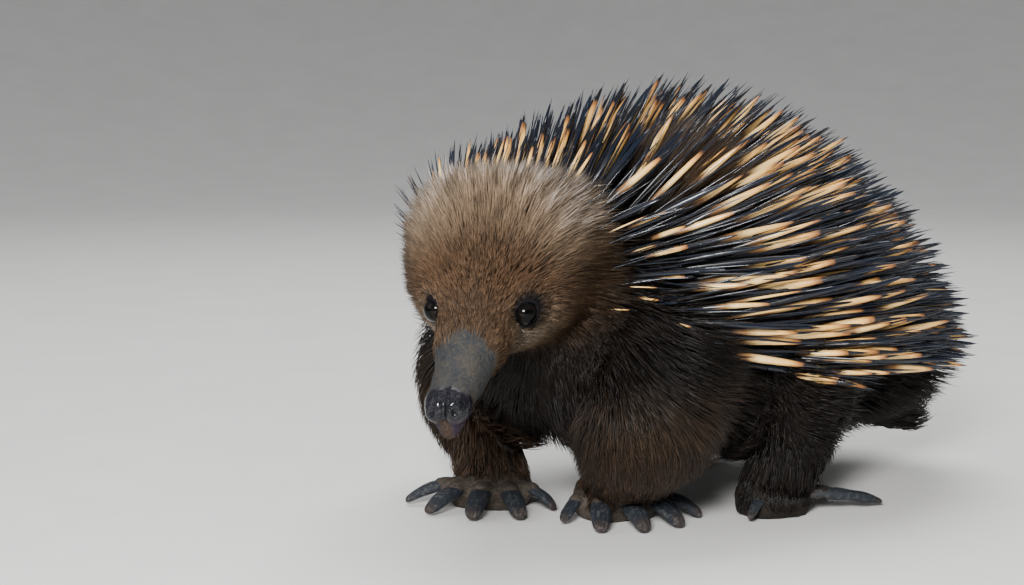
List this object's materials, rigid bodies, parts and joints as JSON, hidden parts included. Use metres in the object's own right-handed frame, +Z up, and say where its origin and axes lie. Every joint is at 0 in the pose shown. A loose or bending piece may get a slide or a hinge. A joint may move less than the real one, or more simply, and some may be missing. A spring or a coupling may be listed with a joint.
{
  "type": "short-beaked echidna model",
  "caption": "Life-size still echidna standing with its head turned to its left: spiny back, furry head and legs, bare beak, broad digging claws.",
  "frame": {"origin": "on the floor under the middle of the animal's bounding box", "axes": "+Z up, the animal faces -Y with its left side at +X"},
  "size_m": [0.1764, 0.3004, 0.1687],
  "materials": {
    "coat": "dark brown hair, soft and slightly glossy",
    "spines": "smooth horn spines, cream with dark glossy tips",
    "skin": "matt dark skin under the coat",
    "beak_skin": "bare grey-brown skin, fine grained, damp and dark at the nose",
    "paw_skin": "bare grey-brown skin with fine folds",
    "claw": "slate horn, satin, paler at the tips",
    "eye": "wet, glossy, almost black"
  },
  "bodies": {
    "root": {"trunk_front": "spines", "trunk_rear": "spines", "neck": "coat", "head": "coat", "beak": "beak_skin", "lower_jaw": "beak_skin", "eye_left": "eye", "eye_right": "eye", "tail": "skin", "foreleg_left": "coat", "forefoot_left": "paw_skin", "claw_forefoot_left_1": "claw", "claw_forefoot_left_2": "claw", "claw_forefoot_left_3": "claw", "claw_forefoot_left_4": "claw", "claw_forefoot_left_5": "claw", "foreleg_right": "coat", "forefoot_right": "paw_skin", "claw_forefoot_right_1": "claw", "claw_forefoot_right_2": "claw", "claw_forefoot_right_3": "claw", "claw_forefoot_right_4": "claw", "claw_forefoot_right_5": "claw", "hindleg_left": "coat", "hindfoot_left": "paw_skin", "claw_hindfoot_left_1": "claw", "claw_hindfoot_left_2": "claw", "claw_hindfoot_left_3": "claw", "claw_hindfoot_left_4": "claw", "claw_hindfoot_left_5": "claw", "hindleg_right": "coat", "hindfoot_right": "paw_skin", "claw_hindfoot_right_1": "claw", "claw_hindfoot_right_2": "claw", "claw_hindfoot_right_3": "claw", "claw_hindfoot_right_4": "claw", "claw_hindfoot_right_5": "claw"}
  },
  "joints": []
}
